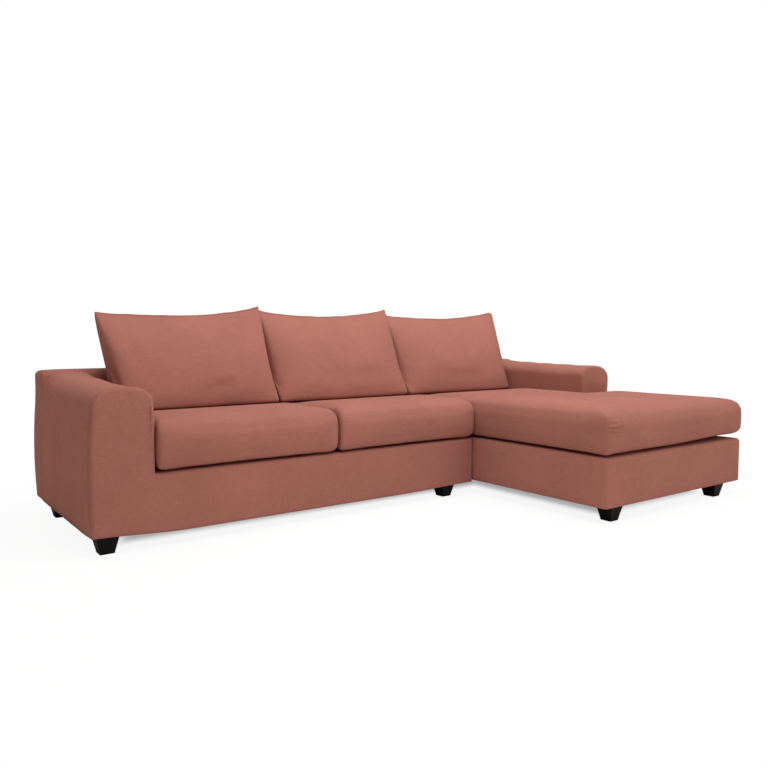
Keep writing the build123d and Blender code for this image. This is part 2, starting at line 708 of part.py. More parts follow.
def back_solid(x_low, x_high, inset):
    """A back cushion lofted across its width: full in the middle, thin at its ends, its top edge drawn in."""
    middle, half = (x_low + x_high) / 2, (x_high - x_low) / 2 - inset
    slices = []
    for t in BACK_CUSHION_SLICES:
        swell = BACK_CUSHION_END_SWELL + (1 - BACK_CUSHION_END_SWELL) * (1 - abs(t) ** 4) ** 0.5
        top = BACK_CUSHION_TOP - BACK_CUSHION_DIP * (1 - t * t)
        slices.append(back_section(middle + t * half, swell, top, inset))
    return loft(slices)


def back_cushion(name, x_low, x_high):
    """Saves a back cushion as its cover and its fibre core."""
    save(f"{name}_cover", back_solid(x_low, x_high, 0) - back_solid(x_low, x_high, COVER_CLOTH))
    save(f"{name}_core", back_solid(x_low, x_high, COVER_CLOTH + NEST_GAP))


def save_section(section, cross_rails, springs):
    """Writes every piece that is built into one section."""
    section.save("front_rail", front_rail(section))
    section.save("rear_rail", rail_across(section, Y_POST - RAIL))
    section.save("side_rails", *side_rails(section))
    section.save("cross_rails", *cross_rails(section))
    section.save("leg_blocks", *leg_blocks(section))
    section.save("feet", *feet(section))
    section.save("foot_bolts", *[bolt_at(x, y, 0) for x, y in section.feet])
    section.save("dust_sheet", dust_sheet(section))
    wires, clips = springs(section)
    section.save("springs", *wires)
    section.save("spring_clips", *clips)
    section.save("deck_pad", deck_pad(section))
    section.save("base_foam", base_foam(section))
    section.save("base_cover", base_cover(section))
    section.save("arm_panels", *arm_panels())
    section.save("arm_boards", *arm_boards())
    section.save("arm_foam", arm_foam(section))
    section.save("arm_cover", arm_cover(section))
    section.save("back_rails", *back_rails(section))
    section.save("back_posts", *back_posts(section))
    section.save("back_board", back_board(section))
    section.save("back_foam", back_foam(section))
    section.save("back_cover", back_cover(section))
    section.save("join_clips", *[join_clip(section.x_joint, y, section.lips_up) for y in join_places()])
    section.save("join_screws", *join_screws(section, 0))


def save_cushions():
    """Writes the six loose cushions."""
    y = (Y_FRONT - SEAT_OVERHANG, Y_BACK - CUSHION_SIDE_GAP)
    edges = [X_ARM_INNER + SEAT_WIDTH * n for n in range(3)]
    for name, low, high in zip(("left_seat", "middle_seat"), edges, edges[1:]):
        seat_cushion(name, rectangle(low + CUSHION_SIDE_GAP, high - CUSHION_SIDE_GAP, *y))
    x_low = X_JOINT + CUSHION_SIDE_GAP
    x_wide = -X_ARM - CUSHION_SIDE_GAP
    x_narrow = -X_ARM_INNER - CUSHION_SIDE_GAP
    y_front = Y_CHAISE_FRONT + CUSHION_SIDE_GAP
    y_notch = Y_FRONT - CUSHION_SIDE_GAP
    chaise = [(x_low, y_front), (x_wide, y_front), (x_wide, y_notch), (x_narrow, y_notch), (x_narrow, y[1]), (x_low, y[1])]
    seat_cushion("chaise_seat", chaise)
    backs = [*edges, -X_ARM_INNER]
    for name, low, high in zip(("left_back", "middle_back", "right_back"), backs, backs[1:]):
        back_cushion(name, low + BACK_CUSHION_SIDE_GAP, high - BACK_CUSHION_SIDE_GAP)


def main():
    os.makedirs("parts", exist_ok=True)
    half_gap = SECTION_GAP / 2
    sofa = Section("sofa", X_JOINT - half_gap - X_ARM, Y_FRONT, SOFA_FEET_FROM_ENDS, False)
    chaise_length = -X_ARM - X_JOINT - half_gap
    chaise = Section("chaise", chaise_length, Y_CHAISE_FRONT, CHAISE_FEET_FROM_ENDS, True)
    save_section(sofa, sofa_cross_rails, sofa_springs)
    save_section(chaise, chaise_cross_rails, chaise_springs)
    save_cushions()


main()
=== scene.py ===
"""Looks of the sectional sofa: soft covers and cushions, procedural materials, light and camera."""

import json
import math

import bmesh
import bpy
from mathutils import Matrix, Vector, noise


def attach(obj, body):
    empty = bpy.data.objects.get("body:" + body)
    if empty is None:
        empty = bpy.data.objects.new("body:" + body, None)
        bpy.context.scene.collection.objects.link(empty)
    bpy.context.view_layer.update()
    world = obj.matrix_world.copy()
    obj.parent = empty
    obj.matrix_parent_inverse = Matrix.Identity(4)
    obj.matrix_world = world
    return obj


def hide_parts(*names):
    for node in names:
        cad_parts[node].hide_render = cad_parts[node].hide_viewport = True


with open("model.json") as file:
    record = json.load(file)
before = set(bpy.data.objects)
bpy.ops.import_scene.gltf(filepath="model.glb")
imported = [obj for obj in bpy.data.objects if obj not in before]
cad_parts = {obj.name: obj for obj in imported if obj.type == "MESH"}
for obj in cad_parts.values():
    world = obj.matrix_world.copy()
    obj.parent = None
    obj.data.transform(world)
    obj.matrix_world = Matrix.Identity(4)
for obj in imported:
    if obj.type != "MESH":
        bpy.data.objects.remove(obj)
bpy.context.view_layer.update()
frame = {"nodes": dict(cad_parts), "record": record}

# Sizes in metres, the same as in the construction
X_ARM = -1.375
X_ARM_INNER = -1.159
X_JOINT = 0.361
X_RIGHT = 1.375
X_RIGHT_INNER = 1.159
HALF_GAP = 0.003375
SEAT_WIDTH = 0.76
SEAT_OVERHANG = 0.020
Y_CHAISE = -0.805
Y_FRONT = -0.055
Y_BACK = 0.665
Y_REAR = 0.805
Z_BASE = 0.062
Z_DECK = 0.264
Z_SEAT = 0.4463
BACK_TOP = 0.602
ARM_SWELL = 0.012

# Form of the covers in metres
EDGE = 0.014                # radius of the front edges
LAP = 0.030                 # reach of arms and bases into the low back
ARM_TOP = 0.571
ARM_ROLL = 0.084            # depth of the outer shoulder
ARM_SHOULDER = 0.060        # depth of the inner shoulder
ARM_ARCH = 0.833            # power of the arched top, squarer than an ellipse below 1
ARM_RIPPLE = 0.0045         # along the shoulders
ARM_UNEVEN = 0.003          # along the sides
ARM_SETTLE = 0.0015
ARM_RISE = 0.012            # of the top towards the rear
LEFT_END_RISE = 0.016       # more of it at the low back
RIGHT_END_RISE = 0.006
RIGHT_ARM_RISE = 0.014      # of the whole right arm over the left one
RIGHT_FLARE = 0.020         # of the right arm's outer shoulder
FRONT_LEAN = 0.008          # of an arm's front at its top
FRONT_DRAW = 0.005          # of an arm's outer side at its front edge
FRONT_DRAW_REACH = 0.16
FRONT_PUFF = 0.004
HEM_SAG = 0.016
LOW_BACK_EDGES = (0.010, 0.006, 0.024)
LOW_BACK_PUFF = 0.004

# Form of the cushions in metres
SEAT_GAP = 0.0015
SEAT_REST = 0.0006          # above the deck
SEAT_CROWN = 0.010          # above the seat's height
SEAT_PRESS = 0.025          # of the back cushions into the seats
SEAT_CORNER = 0.013
SEAT_VOXEL = 0.009
CHAISE_BULGE = 0.016        # of the chaise seat past the right side
ARM_CLEARANCE = 0.003       # of the chaise seat round the right arm
CORNER_LIFT = 0.014         # of the chaise seat's right front corner
CREASE = 0.0035
BACK_FRONT = 0.150          # of a back cushion in front of its seam
BACK_BEHIND = 0.078
BACK_GAP = 0.001
BACK_LEAN = math.radians(15.0)
BACK_SEAM = 0.105           # seam in front of the low back, at the seat
SEAM_HALF = 0.004
SEAM_LIP = 0.0028
PUCKER = 0.006

# Fineness of the covers and the cloth
SIDE_POINTS = 16
ARCH_POINTS = 32
FOOT_POINTS = 8
ARM_STEPS = 30
BACK_COLUMNS = 48
BACK_ROWS = 30
CLOTH_FRAMES = 14
CLOTH_PRESSURE = 3.0
SEAT_CAP = 0.007            # how far the cloth may move, in metres
SEAT_GROW = 0.010           # how much it may stretch, as a share
BACK_CAP = 0.008
BACK_GROW = 0.004

# Colours, light and view
FABRIC_COLOUR = (0.343, 0.133, 0.1005, 1)
FLOOR_DARK = (0.85, 0.81, 0.78, 1)
FLOOR_LIGHT = (0.87, 0.83, 0.80, 1)
WORLD_COLOUR = (1.0, 0.945, 0.905, 1)
WORLD_STRENGTH = 0.60
LAMP_COLOUR = (0.965, 1.0, 1.045)
WHITE = (1, 1, 1, 1)
FLOOR_REACH = 60
LENS = 34.27
SENSOR = 36.0
CAMERA_PLACE = (-2.0236, -2.5664, 0.7428)
CAMERA_DIP = 3.71
CAMERA_TURN = -36.47


# Materials

def new_material(name):
    """A new material; returns it, its tree, its shader and a place in object space."""
    material = bpy.data.materials.new(name)
    material.use_nodes = True
    tree = material.node_tree
    shader = tree.nodes["Principled BSDF"]
    place = tree.nodes.new("ShaderNodeTexCoord").outputs["Object"]
    return material, tree, shader, place


def add(tree, kind, links=None, **values):
    """A node with its named inputs linked or set, and its other settings as attributes."""
    node = tree.nodes.new(kind)
    for key, value in values.items():
        setattr(node, key, value)
    for key, value in (links or {}).items():
        if isinstance(value, bpy.types.NodeSocket):
            tree.links.new(value, node.inputs[key])
        else:
            node.inputs[key].default_value = value
    return node


def noise_at(tree, place, scale, detail=3.0, rough=0.5):
    """Cloudy noise at a place."""
    links = {"Vector": place, "Scale": scale, "Detail": detail, "Roughness": rough}
    return add(tree, "ShaderNodeTexNoise", links).outputs["Fac"]


def stretched(tree, place, scale):
    """A place with its axes scaled."""
    return add(tree, "ShaderNodeMapping", {"Vector": place, "Scale": scale}).outputs["Vector"]


def ramp(tree, fac, low, high, start=0.3, end=0.7):
    """Two colours either side of a value."""
    node = add(tree, "ShaderNodeValToRGB", {"Fac": fac})
    node.color_ramp.elements[0].position = start
    node.color_ramp.elements[0].color = low
    node.color_ramp.elements[1].position = end
    node.color_ramp.elements[1].color = high
    return node.outputs["Color"]


def shade(colour, factor):
    """A colour made darker or lighter."""
    return (*[c * factor for c in colour[:3]], 1)


def shades(tree, fac, colour, dark, light):
    """A colour that goes from a darker to a lighter shade with a value."""
    return ramp(tree, fac, shade(colour, dark), shade(colour, light))


def ranged(tree, value, low, high):
    """A value from 0 to 1 brought into a range."""
    links = {"Value": value, "To Min": low, "To Max": high}
    return add(tree, "ShaderNodeMapRange", links).outputs["Result"]


def emboss(tree, shader, height, strength, distance):
    """A relief of the surface."""
    links = {"Height": height, "Strength": strength, "Distance": distance}
    bump = add(tree, "ShaderNodeBump", links)
    tree.links.new(bump.outputs["Normal"], shader.inputs["Normal"])


def bands(tree, place, axis, scale, distort):
    """Even threads across one axis."""
    node = add(tree, "ShaderNodeTexWave", {
        "Vector": place, "Scale": scale, "Distortion": distort, "Detail": 1.0, "Detail Scale": 2.0,
    })
    node.wave_type = "BANDS"
    node.bands_direction = axis
    return node.outputs["Fac"]


def math_node(tree, operation, first, second):
    """A sum, product or the like of two values."""
    return add(tree, "ShaderNodeMath", {0: first, 1: second}, operation=operation).outputs[0]


def summed(tree, values):
    """The sum of several values."""
    total = values[0]
    for value in values[1:]:
        total = math_node(tree, "ADD", total, value)
    return total


def woven(name, colour, threads, bump, sheen):
    """Plain woven cloth: threads both ways on every face, slubs, soft mottling and a little fuzz."""
    material, tree, shader, place = new_material(name)
    weave = summed(tree, [bands(tree, place, axis, threads, 0.6) for axis in "XYZ"])
    along, across = 30, 420
    slubs = summed(tree, [
        noise_at(tree, stretched(tree, place, scale), 1.0, 2.0)
        for scale in ((along, across, across), (across, along, across), (across, across, along))
    ])
    patches = shades(tree, noise_at(tree, place, 3.2, 5.0, 0.55), colour, 0.93, 1.07)
    thread_shade = add(tree, "ShaderNodeMapRange", {
        "Value": slubs, "From Min": 1.1, "From Max": 1.9, "To Min": 0.86, "To Max": 1.12,
    }).outputs["Result"]
    tinted = add(tree, "ShaderNodeVectorMath", {0: patches, 1: thread_shade}, operation="MULTIPLY")
    tree.links.new(tinted.outputs[0], shader.inputs["Base Color"])
    relief = summed(tree, [weave, math_node(tree, "MULTIPLY", slubs, 0.6)])
    fine = add(tree, "ShaderNodeBump", {"Height": relief, "Strength": bump, "Distance": 0.0006})
    ripple = noise_at(tree, place, 14.0, 3.0)
    soft = add(tree, "ShaderNodeBump", {
        "Height": ripple, "Strength": 0.25, "Distance": 0.006, "Normal": fine.outputs["Normal"],
    })
    tree.links.new(soft.outputs["Normal"], shader.inputs["Normal"])
    shader.inputs["Roughness"].default_value = 0.9
    shader.inputs["Specular IOR Level"].default_value = 0.05
    shader.inputs["Sheen Weight"].default_value = sheen
    shader.inputs["Sheen Roughness"].default_value = 0.45
    shader.inputs["Sheen Tint"].default_value = (1.0, 0.86, 0.80, 1)
    return material


def timber(name, colour, grain, rough):
    """Sawn wood with grain along X."""
    material, tree, shader, place = new_material(name)
    lines = noise_at(tree, stretched(tree, place, (2, grain, grain)), 1.0, 6.0, 0.6)
    tree.links.new(shades(tree, lines, colour, 0.72, 1.1), shader.inputs["Base Color"])
    emboss(tree, shader, lines, 0.3, 0.0008)
    shader.inputs["Roughness"].default_value = rough
    return material


def lacquer(name, colour):
    """Satin black lacquer over close grain, with faint smears in its gloss."""
    material, tree, shader, place = new_material(name)
    grain = noise_at(tree, stretched(tree, place, (260, 260, 24)), 1.0, 4.0)
    smears = noise_at(tree, place, 30.0, 4.0)
    tree.links.new(shades(tree, smears, colour, 0.8, 1.5), shader.inputs["Base Color"])
    tree.links.new(ranged(tree, smears, 0.38, 0.58), shader.inputs["Roughness"])
    shader.inputs["Specular IOR Level"].default_value = 0.07
    emboss(tree, shader, grain, 0.15, 0.0004)
    return material


def cellular(name, colour, scale):
    """Open-cell foam or matted fibre."""
    material, tree, shader, place = new_material(name)
    cells = add(tree, "ShaderNodeTexVoronoi", {"Vector": place, "Scale": scale}).outputs["Distance"]
    cloud = noise_at(tree, place, 9.0, 4.0)
    tree.links.new(shades(tree, cloud, colour, 0.85, 1.08), shader.inputs["Base Color"])
    emboss(tree, shader, cells, 0.5, 0.001)
    shader.inputs["Roughness"].default_value = 0.95
    return material


def metal(name, colour, scale, rough):
    """Plated or drawn steel with a fine spangle in its gloss."""
    material, tree, shader, place = new_material(name)
    spangle = add(tree, "ShaderNodeTexVoronoi", {"Vector": place, "Scale": scale}).outputs["Color"]
    value = add(tree, "ShaderNodeSeparateColor", {"Color": spangle}).outputs[0]
    tree.links.new(shades(tree, value, colour, 0.85, 1.1), shader.inputs["Base Color"])
    tree.links.new(ranged(tree, value, rough - 0.08, rough + 0.1), shader.inputs["Roughness"])
    shader.inputs["Metallic"].default_value = 1.0
    return material


MATERIALS = {
    "cover_fabric": woven("cover_fabric", FABRIC_COLOUR, 420.0, 0.5, 0.02),
    "foam": cellular("foam", (0.82, 0.74, 0.52, 1), 420.0),
    "fibre_fill": cellular("fibre_fill", (0.86, 0.86, 0.84, 1), 160.0),
    "timber": timber("timber", (0.60, 0.42, 0.24, 1), 60.0, 0.7),
    "plywood": timber("plywood", (0.64, 0.47, 0.28, 1), 34.0, 0.65),
    "hardboard": timber("hardboard", (0.22, 0.13, 0.07, 1), 240.0, 0.8),
    "foot_wood": lacquer("foot_wood", (0.0035, 0.0033, 0.0033, 1)),
    "spring_wire": metal("spring_wire", (0.40, 0.40, 0.41, 1), 900.0, 0.35),
    "zinc_steel": metal("zinc_steel", (0.62, 0.63, 0.66, 1), 300.0, 0.32),
    "dust_cloth": woven("dust_cloth", (0.012, 0.012, 0.013, 1), 700.0, 0.3, 0.0),
}
SLOTS = {part["node"]: part["material_slot"] for part in frame["record"]["subparts"]}


def dress_cad_nodes():
    """Every construction piece gets the material of its slot."""
    for node, thing in frame["nodes"].items():
        thing.data.materials.clear()
        thing.data.materials.append(MATERIALS[SLOTS[node]])


# Building pieces

def make_object(name, mesh, body, nodes=()):
    """Links a fabric piece, rides it on its body and lets it stand for construction nodes."""
    thing = bpy.data.objects.new(name, mesh)
    bpy.context.scene.collection.objects.link(thing)
    mesh.materials.clear()
    mesh.materials.append(MATERIALS["cover_fabric"])
    mesh.polygons.foreach_set("use_smooth", [True] * len(mesh.polygons))
    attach(thing, body)
    if nodes:
        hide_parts(*nodes)
    return thing


def loft_mesh(name, rings):
    """A skin through rings of the same number of points, closed round and capped at its ends."""
    shape = bmesh.new()
    rows = [[shape.verts.new(p) for p in ring] for ring in rings]
    count = len(rings[0])
    for here, there in zip(rows, rows[1:]):
        for n in range(count):
            after = (n + 1) % count
            shape.faces.new((here[n], here[after], there[after], there[n]))
    shape.faces.new(list(reversed(rows[0])))
    shape.faces.new(rows[-1])
    bmesh.ops.recalc_face_normals(shape, faces=shape.faces)
    mesh = bpy.data.meshes.new(name)
    shape.to_mesh(mesh)
    shape.free()
    return mesh


def between(a, b, count):
    """Even points from a up to but not at b."""
    return [tuple(p + (q - p) * n / count for p, q in zip(a, b)) for n in range(count)]


def wobble(x, y, z, scale, depth):
    """Smooth noise of a depth at a place."""
    return noise.noise(Vector((x * scale, y * scale, z * scale))) * depth


def eased(value, start, end):
    """A smooth step from 0 to 1."""
    share = min(1.0, max(0.0, (value - start) / (end - start)))
    return share * share * (3 - 2 * share)


def edge_steps(radius, count=5):
    """Depth and inset of a rounded edge, from its face to its side."""
    turns = [math.radians(90 * n / count) for n in range(count + 1)]
    return [(radius * (1 - math.cos(turn)), radius * (1 - math.sin(turn))) for turn in turns]


def turned(corner, arriving, leaving, radius, steps):
    """Points of a rounded corner between the ways in which its sides arrive and leave."""
    start = corner - arriving * radius
    end = corner + leaving * radius
    shares = [k / steps for k in range(steps + 1)]
    return [start.lerp(corner, t).lerp(corner.lerp(end, t), t) for t in shares]


def ways(points, n):
    """The ways in which the sides of a closed outline arrive at one of its corners and leave it."""
    corner = Vector(points[n])
    arriving = (corner - Vector(points[n - 1])).normalized()
    leaving = (Vector(points[(n + 1) % len(points)]) - corner).normalized()
    return corner, arriving, leaving


def inset_outline(points, inset):
    """A closed clockwise outline moved in by inset, square at its corners."""
    moved = []
    for n in range(len(points)):
        corner, arriving, leaving = ways(points, n)
        sides = [Vector((way.y, -way.x)) for way in (arriving, leaving)]
        inward = (sides[0] + sides[1]).normalized()
        moved.append(corner + inward * inset / max(0.4, inward.dot(sides[0])))
    return moved


# Arms and the front panel

def arm_swell(z, z_low):
    """How far the outer side of an arm swells at a height."""
    z_turn = ARM_TOP - ARM_ROLL
    share = min(1.0, max(0.0, (z - z_low) / (z_turn - z_low)))
    return ARM_SWELL * math.sin(math.pi * min(1.0, 0.12 + 0.88 * share)) ** 0.8


def arm_outline(inset, z_low, drawn):
    """The left arm in X and Z, from its outer foot up, over its arched top and down the inner side."""
    x_out = X_ARM + inset + drawn
    x_in = X_ARM_INNER - inset
    z_top = ARM_TOP - inset
    x_middle = (x_out + x_in) / 2
    half = (x_in - x_out) / 2
    points = []
    for x, z in between((x_out, z_low + inset), (x_out, ARM_TOP - ARM_ROLL), SIDE_POINTS):
        points.append((x - arm_swell(z, z_low), z))
    for n in range(ARCH_POINTS):
        turn = math.pi * (1 - n / ARCH_POINTS)
        spring = ARM_TOP - (ARM_ROLL if n < ARCH_POINTS / 2 else ARM_SHOULDER)
        across = math.copysign(abs(math.cos(turn)) ** ARM_ARCH, math.cos(turn))
        up = math.sin(turn) ** ARM_ARCH
        points.append((x_middle + half * across, spring + (z_top - spring) * up))
    points += between((x_in, ARM_TOP - ARM_SHOULDER), (x_in, z_low + inset), SIDE_POINTS)
    points += between((x_in, z_low + inset), (x_out, z_low + inset), FOOT_POINTS)
    return points


def drawn_in(y):
    """How far the outer side of an arm is drawn in towards its front edge."""
    return FRONT_DRAW * max(0.0, 1 - (y - Y_FRONT) / FRONT_DRAW_REACH) ** 2


def front_lean(z):
    """How far the front of an arm leans back at a height."""
    return FRONT_LEAN * eased(z, ARM_TOP - 0.10, ARM_TOP - 0.01)


def arm_rings(z_low, side):
    """Rings of an arm from its front to the low back; side is 1 at the right, where the front is rounded."""
    y_start = Y_FRONT + EDGE
    y_end = Y_BACK + LAP
    places = [(y_start, 0.0)]
    if side > 0:
        places = [(Y_FRONT + depth, inset) for depth, inset in edge_steps(EDGE)]
    places += [(y_start + (y_end - y_start) * n / ARM_STEPS, 0.0) for n in range(1, ARM_STEPS + 1)]
    rings = []
    for y, inset in places:
        rings.append([(-side * x, y, z) for x, z in arm_outline(inset, z_low, drawn_in(y))])
    return rings


def make_arm(name, z_low, side, body, nodes):
    """An arm with soft ripples along its shoulders; the right arm has a puffed front of its own."""
    rings = arm_rings(z_low, side)
    front = rings[0]
    middle = Vector([sum(values) / len(front) for values in zip(*front)])
    if side > 0:
        for share in (0.12, 0.3, 0.5, 0.7, 0.88):
            puff = Vector((0, -FRONT_PUFF * math.sin(share * math.pi / 2), 0))
            rings.insert(0, [tuple(Vector(p).lerp(middle, share) + puff) for p in front])
    end_rise = RIGHT_END_RISE if side > 0 else LEFT_END_RISE
    mesh = loft_mesh(name, rings)
    for vertex in mesh.vertices:
        x, y, z = vertex.co
        behind = eased(y, Y_FRONT + 0.02, Y_FRONT + 0.12) * (1 - eased(y, Y_BACK - 0.10, Y_BACK - 0.01))
        shoulder = max(0.0, min(1.0, (z - (ARM_TOP - 0.13)) / 0.08))
        lift = wobble(x * 0.35, y, z * 0.35, 13.0, ARM_RIPPLE) * shoulder * behind
        lift += ARM_RISE * shoulder * eased(y, Y_FRONT + 0.12, Y_BACK - 0.05)
        lift += end_rise * shoulder * eased(y, Y_BACK - 0.11, Y_BACK + 0.01)
        spread = wobble(x + 5, y, z, 5.0, ARM_UNEVEN) * behind
        if side > 0:
            lift += RIGHT_ARM_RISE * shoulder
            outer = eased(x, X_RIGHT_INNER + 0.10, X_RIGHT)
            spread += RIGHT_FLARE * shoulder * outer * (1 - eased(y, 0.1, 0.6))
            y += front_lean(z) * (1 - eased(y, Y_FRONT + 0.01, Y_FRONT + 0.12))
        vertex.co = (x + spread, y, z + lift - ARM_SETTLE * behind * shoulder)
    return make_object(name, mesh, body, nodes)


def hem_sag(x):
    """How far the lower edge of the sofa's front panel hangs below the base."""
    return HEM_SAG * eased(x, X_ARM - 0.02, X_ARM + 0.35) * (1 - 0.5 * eased(x, X_JOINT - 0.40, X_JOINT))


def panel_ring(outline, depth, inset):
    """A ring of the front panel, its lip kept below the seat cushions."""
    ring = []
    for x, z in inset_outline(outline, inset):
        on_deck = x > X_ARM_INNER and z < Z_DECK + 0.003
        ring.append((x, Y_FRONT + depth + front_lean(z), min(z, Z_DECK) if on_deck else z))
    return ring


def make_front_panel(name, x_end, body):
    """One panel of cloth over the front of the left arm and of the sofa's front rail."""
    around = arm_outline(0, Z_BASE, drawn_in(Y_FRONT))[:-FOOT_POINTS]
    outline = [p for p in around if p[0] < X_ARM_INNER - 0.001 or p[1] > Z_DECK + 0.004]
    outline += between((X_ARM_INNER, Z_DECK), (x_end, Z_DECK), 60)
    outline += between((x_end, Z_DECK), (x_end, Z_BASE), 8)
    outline += [(x, z - hem_sag(x)) for x, z in between((x_end, Z_BASE), around[0], 70)]
    rings = [panel_ring(outline, depth, inset) for depth, inset in edge_steps(EDGE)]
    for depth, inset in ((0.003, -0.0016), (0.006, 0.0), (0.012, 0.002)):
        rings.append(panel_ring(outline, EDGE + depth, inset))
    return make_object(name, loft_mesh(name, rings), body, ())


# Upholstered blocks

OUTWARD = (Vector((0, -1)), Vector((1, 0)), Vector((0, 1)), Vector((-1, 0)))


def block_ring(x_low, x_high, y_low, y_high, radius):
    """Plan points of a rounded rectangle, each with its side and how far along that side it is."""
    counts = (30, 24)
    marks = ((x_low, y_low), (x_high, y_low), (x_high, y_high), (x_low, y_high))
    points = []
    for side in range(4):
        corner, arriving, leaving = ways(marks, side)
        points += [(spot, side, 0.0) for spot in turned(corner, arriving, leaving, radius, 5)]
        start = corner + leaving * radius
        end = Vector(marks[(side + 1) % 4]) - leaving * radius
        count = counts[side % 2]
        points += [(start.lerp(end, n / count), side, n / count) for n in range(1, count)]
    return points


def make_block(name, low, high, edges, body, nodes, puff, swollen=None):
    """An upholstered block.

    edges gives its radii in plan, below and above, and swollen the side that follows an arm.
    """
    corner, below, above = edges
    z_start = low[2] + below
    z_end = high[2] - above
    levels = [(low[2] + depth, inset) for depth, inset in edge_steps(below, 3)]
    levels += [(z_start + (z_end - z_start) * n / 9, 0.0) for n in range(1, 9)]
    levels += [(high[2] - depth, inset) for depth, inset in reversed(edge_steps(above, 6))]
    half = min(high[0] - low[0], high[1] - low[1]) / 2
    for share in (0.25, 0.5, 0.75, 0.95):
        levels.append((high[2] + puff * share, above + (half - above) * share))
    rings = []
    for z, inset in levels:
        ring = []
        height = (z - low[2]) / (high[2] - low[2])
        rise = max(0.0, 4 * height * (1 - height)) ** 0.6
        radius = max(0.003, corner - inset)
        swell = arm_swell(z, low[2]) if inset < above else 0.0
        x_low = low[0] + inset
        x_high = high[0] - inset
        for spot, side, share in block_ring(x_low, x_high, low[1] + inset, high[1] - inset, radius):
            spot = spot + OUTWARD[side] * (puff * rise * (4 * share * (1 - share)) ** 0.6)
            if swollen == "left" and spot.x < x_low + 0.02:
                spot.x -= swell
            if swollen == "right" and spot.x > x_high - 0.02:
                spot.x += swell
            ring.append((spot.x, spot.y, z))
        rings.append(ring)
    return make_object(name, loft_mesh(name, rings), body, nodes)


# Cushions

def evaluated_mesh(thing):
    """A new mesh of an object with its modifiers applied."""
    bpy.context.view_layer.update()
    graph = bpy.context.evaluated_depsgraph_get()
    return bpy.data.meshes.new_from_object(thing.evaluated_get(graph))


def subdivided(mesh):
    """The mesh with one smooth subdivision applied."""
    thing = bpy.data.objects.new("subdivide_work", mesh)
    bpy.context.scene.collection.objects.link(thing)
    smooth = thing.modifiers.new("subdivide", "SUBSURF")
    smooth.levels = 1
    result = evaluated_mesh(thing)
    bpy.data.objects.remove(thing)
    return result


def add_smooth(thing, name, iterations):
    """A modifier that evens out a mesh."""
    smooth = thing.modifiers.new(name, "SMOOTH")
    smooth.iterations = iterations
    smooth.factor = 0.5


def add_cloth(thing, grow):
    """Cloth under pressure without gravity, which grows by a share."""
    cloth = thing.modifiers.new("cloth", "CLOTH")
    cloth.settings.use_pressure = True
    cloth.settings.uniform_pressure_force = CLOTH_PRESSURE
    cloth.settings.shrink_min = -grow
    cloth.settings.quality = 4
    cloth.settings.tension_stiffness = 20
    cloth.settings.compression_stiffness = 20
    cloth.settings.bending_stiffness = 2.0
    cloth.settings.mass = 0.35
    cloth.settings.effector_weights.gravity = 0
    cloth.point_cache.frame_start = 1
    cloth.point_cache.frame_end = CLOTH_FRAMES


def soften(name, mesh, voxel, cap, grow, held=None):
    """Swells a closed shape as cloth under pressure, remeshed first where voxel is given.

    cap limits how far each point goes, and held gives each point's share of staying where it was.
    """
    thing = bpy.data.objects.new(name + "_work", mesh)
    bpy.context.scene.collection.objects.link(thing)
    if voxel:
        remesh = thing.modifiers.new("remesh", "REMESH")
        remesh.mode = "VOXEL"
        remesh.voxel_size = voxel
        add_smooth(thing, "smooth", 2)
        thing.data = evaluated_mesh(thing)
        thing.modifiers.clear()
    before = [v.co.copy() for v in thing.data.vertices]
    add_cloth(thing, grow)
    for number in range(1, CLOTH_FRAMES + 1):
        bpy.context.scene.frame_set(number)
    swollen = evaluated_mesh(thing)
    thing.modifiers.clear()
    for n, (vertex, old) in enumerate(zip(swollen.vertices, before)):
        moved = vertex.co - old
        vertex.co = old + moved * (cap / (cap + moved.length)) * (1 - (held[n] if held else 0))
    bpy.context.scene.frame_set(1)
    thing.data = swollen
    if voxel:
        add_smooth(thing, "settle", 4)
        thing.data = evaluated_mesh(thing)
        thing.modifiers.clear()
    result = thing.data
    bpy.data.objects.remove(thing)
    return result


def fit_to(mesh, low, high):
    """Stretches a mesh so that its box is the one given."""
    for axis in range(3):
        values = [v.co[axis] for v in mesh.vertices]
        start = min(values)
        size = max(values) - start
        for vertex in mesh.vertices:
            share = (vertex.co[axis] - start) / size
            vertex.co[axis] = low[axis] + share * (high[axis] - low[axis])


def rounded_plan(points, radius):
    """A plan of straight sides with its outer corners rounded."""
    outline = []
    for n in range(len(points)):
        corner, arriving, leaving = ways(points, n)
        if arriving.x * leaving.y - arriving.y * leaving.x < 0:
            outline.append(corner)
        else:
            outline += turned(corner, arriving, leaving, radius, 6)
    return outline


# Height and inset of a seat cushion's side, from the deck to its crown
SEAT_STEPS = (
    (0.0, 0.030), (0.005, 0.017), (0.014, 0.007), (0.028, 0.001), (0.055, 0.0), (0.110, 0.0),
    (0.134, 0.002), (0.152, 0.008), (0.166, 0.020), (0.175, 0.038), (0.180, 0.065), (0.183, 0.110),
    (0.185, 0.190),
)


